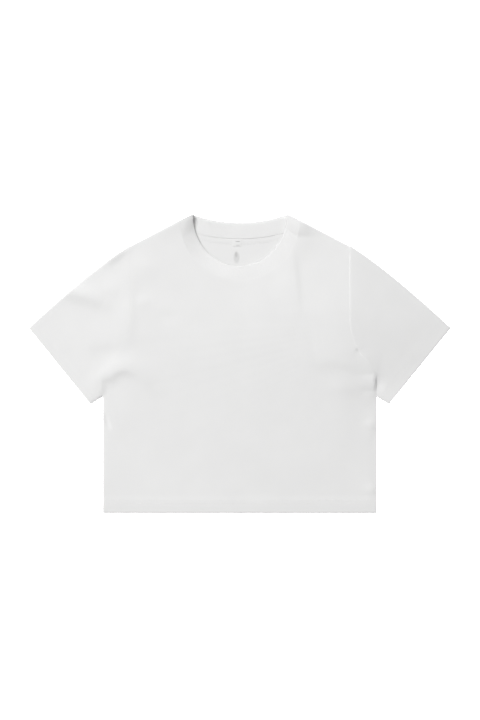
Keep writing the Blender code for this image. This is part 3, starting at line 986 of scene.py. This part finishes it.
# %% A stitch tree with named inputs
def make_stitch_tree():
    tree = bpy.data.node_groups.new("row of stitches", "GeometryNodeTree")
    face = tree.interface
    face.new_socket("Geometry", in_out="INPUT", socket_type="NodeSocketGeometry")
    for label, value in (("Pitch", 0.0029), ("Stitch Length", 0.0023), ("Thread Radius", 0.0002)):
        face.new_socket(label, in_out="INPUT", socket_type="NodeSocketFloat").default_value = value
    face.new_socket("Thread", in_out="INPUT", socket_type="NodeSocketMaterial")
    face.new_socket("Geometry", in_out="OUTPUT", socket_type="NodeSocketGeometry")
    nodes, links = tree.nodes, tree.links
    given, result = nodes.new("NodeGroupInput"), nodes.new("NodeGroupOutput")
    curve = nodes.new("GeometryNodeMeshToCurve")
    spots = nodes.new("GeometryNodeCurveToPoints")
    spots.mode = "LENGTH"
    aim = nodes.new("FunctionNodeAlignRotationToVector")
    aim.axis = "Z"
    bead = nodes.new("GeometryNodeMeshUVSphere")
    set_inputs(bead, Segments=6, Rings=4, Radius=1.0)
    half = nodes.new("ShaderNodeMath")
    half.operation = "MULTIPLY"
    half.inputs[1].default_value = 0.5
    size = nodes.new("ShaderNodeCombineXYZ")
    place = nodes.new("GeometryNodeInstanceOnPoints")
    real = nodes.new("GeometryNodeRealizeInstances")
    thread = nodes.new("GeometryNodeSetMaterial")
    for source, giving, target, taking in (
        (given, "Geometry", curve, 0),
        (curve, 0, spots, "Curve"),
        (given, "Pitch", spots, "Length"),
        (spots, "Tangent", aim, "Vector"),
        (given, "Stitch Length", half, 0),
        (given, "Thread Radius", size, "X"),
        (given, "Thread Radius", size, "Y"),
        (half, 0, size, "Z"),
        (spots, "Points", place, "Points"),
        (bead, "Mesh", place, "Instance"),
        (aim, "Rotation", place, "Rotation"),
        (size, "Vector", place, "Scale"),
        (place, 0, real, 0),
        (real, 0, thread, "Geometry"),
        (given, "Thread", thread, "Material"),
    ):
        links.new(source.outputs[giving], target.inputs[taking])
    links.new(thread.outputs[0], result.inputs[0])
    return tree


STITCHES = make_stitch_tree()


def sew(name, lines, sizes):
    """Rows of stitches along lines of points, as one plain mesh."""
    points = np.concatenate(lines)
    edges, start = [], 0
    for line in lines:
        edges += [(start + i, start + i + 1) for i in range(len(line) - 1)]
        start += len(line)
    data = bpy.data.meshes.new(name)
    data.from_pydata(points.tolist(), edges, [])
    row = bpy.data.objects.new(name, data)
    bpy.context.scene.collection.objects.link(row)
    nodes = row.modifiers.new("stitches", "NODES")
    nodes.node_group = STITCHES
    inputs = [item for item in STITCHES.interface.items_tree if item.in_out == "INPUT"]
    sockets = {item.name: item.identifier for item in inputs}
    for label, value in {"Thread": THREAD, **sizes}.items():
        nodes[sockets[label]] = value
    finish_mesh(row, sharp=None)
    return row


# %% Where the rows of stitches run
def laid_on(piece, plan, above=0.00004, from_below=False):
    """Points on a piece's surface over or under the points of a plan."""
    shape = BVHTree.FromObject(piece, bpy.context.evaluated_depsgraph_get())
    start, way = (-0.01, 1.0) if from_below else (0.05, -1.0)
    points = []
    for x, y in plan:
        place = shape.ray_cast(Vector((x, y, start)), Vector((0, 0, way)))[0]
        if place is not None:
            points.append((x, y, place.z - way * above))
    return np.array(points)


def hem_rows(piece, from_below=False):
    across = np.linspace(-CHEST + 0.003, CHEST - 0.003, 200)
    rows = [np.column_stack([across, np.full(len(across), HEM_Y + needle)]) for needle in NEEDLES]
    return [laid_on(piece, plan, 0.0 if from_below else 0.00004, from_below) for plan in rows]


def cuff_rows(piece, side):
    rows = []
    for needle in NEEDLES:
        start, end = CUFF_TOP - SLEEVE_AXIS * needle, CUFF_LOW - SLEEVE_AXIS * needle
        plan = straight(start, end, np.linspace(0.01, 0.97, 80)) * np.array([side, 1])
        rows += [laid_on(piece, plan), laid_on(piece, plan, 0.0, True)]
    return rows


def tape_rows():
    angles = np.linspace(-1, 1, 160) * math.radians(75)
    return [laid_on(tape, back_arc(angles, TAPE_AWAY + needle)) for needle in TAPE_NEEDLES]


FINE_THREAD = {"Thread Radius": 0.00013}
TAPE_STITCH = {"Pitch": 0.0026, "Stitch Length": 0.0021, "Thread Radius": 0.0001}
SEAMS = {
    # name, its rows, sizes that differ from the group's own
    "stitches_front_hem": (hem_rows(front), {}),
    "stitches_back_hem": (hem_rows(back, True), {}),
    "stitches_right_cuff": (cuff_rows(sleeve_right, 1), FINE_THREAD),
    "stitches_left_cuff": (cuff_rows(sleeve_left, -1), FINE_THREAD),
    "stitches_tape": (tape_rows(), TAPE_STITCH),
}
seams = {label: sew(label, lines, sizes) for label, (lines, sizes) in SEAMS.items()}
for label, row in seams.items():
    print(label, triangles(row), "triangles")

# %% [markdown]
# ## Floor, light and camera
#
# The shirt lies on a plain white floor. White cloth on white needs light from one side, low enough to draw
# the creases, and a soft fill from all round so that nothing goes grey. The camera looks straight down.

# %% Floor
floor_size = 60.0
floor_data = bpy.data.meshes.new("floor")
corner = floor_size / 2
floor_data.from_pydata(
    [(x * corner, y * corner, -0.0003) for x, y in ((-1, -1), (1, -1), (1, 1), (-1, 1))],
    [],
    [(0, 1, 2, 3)],
)
floor = bpy.data.objects.new("floor", floor_data)
bpy.context.scene.collection.objects.link(floor)
floor_paint = bpy.data.materials.new("white floor")
floor_paint.use_nodes = True
floor_shader = floor_paint.node_tree.nodes["Principled BSDF"]
set_inputs(floor_shader, Base_Color=(0.95, 0.95, 0.95, 1), Roughness=1.0, Specular_IOR_Level=0.0)
set_inputs(floor_shader, Emission_Color=(1, 1, 1, 1), Emission_Strength=2.6)
floor_data.materials.append(floor_paint)

# %% Light
world = bpy.data.worlds.new("studio")
bpy.context.scene.world = world
world.use_nodes = True
set_inputs(world.node_tree.nodes["Background"], Color=(1, 1, 1, 1), Strength=0.36)


def area_light(name, place, aim, size, power):
    data = bpy.data.lights.new(name, "AREA")
    data.shape = "DISK"
    data.size = size
    data.energy = power
    light = bpy.data.objects.new(name, data)
    light.location = place
    light.rotation_euler = (Vector(aim) - Vector(place)).to_track_quat("-Z", "Y").to_euler()
    bpy.context.scene.collection.objects.link(light)
    return light


area_light("key", (-6.75, 7.9, 6.0), (0.0, 0.0, 0.0), 6.5, 1742.0)

# %% Camera
CAMERA_HEIGHT = 3.0
VIEW_HEIGHT = 1.2614  # of the floor, along the picture's long side
SENSOR = 36.0
lens = bpy.data.cameras.new("camera")
lens.sensor_width = SENSOR
lens.lens = SENSOR * (CAMERA_HEIGHT - FRONT_MID) / VIEW_HEIGHT
camera = bpy.data.objects.new("camera", lens)
camera.location = (0.0004, 0.0053, CAMERA_HEIGHT)
bpy.context.scene.collection.objects.link(camera)
bpy.context.scene.camera = camera
bpy.context.scene.view_settings.view_transform = "Standard"
print(f"lens {lens.lens:.1f} mm")

# %% [markdown]
# ## What each piece is
#
# Each piece is hung on the frame's root, and the solid that it stands for is hidden. The table also lists
# what each is made of, the size that it was cut to and what it rests on. Areas are the flat cut's, with the
# turned-up hems.

CUTS = (
    # piece, node, slot, width and length of the cut, its area, what it rests on
    (front, "front_body", "jersey", (0.480, 0.550), 0.216, ["back"]),
    (back, "back_body", "jersey", (0.480, 0.550), 0.228, []),
    (sleeve_right, "sleeve_right", "jersey", (0.480, 0.230), 0.061, ["back"]),
    (sleeve_left, "sleeve_left", "jersey", (0.480, 0.230), 0.061, ["back"]),
    (neckband, "neck_rib", "rib", (0.520, 0.050), 0.026, ["back"]),
    (tape, "neck_tape", "tape", (0.240, 0.010), 0.0023, ["back"]),
    (tab, "size_tab", "label", (0.015, 0.026), 0.00038, ["neck_tape_strip"]),
)
for piece, node, slot, flat, area, rests_on in CUTS:
    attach(piece, "root")
    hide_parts(node)
for label, row in seams.items():
    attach(row, "root")
print(len(CUTS), "pieces of cloth and", len(seams), "rows of stitches")
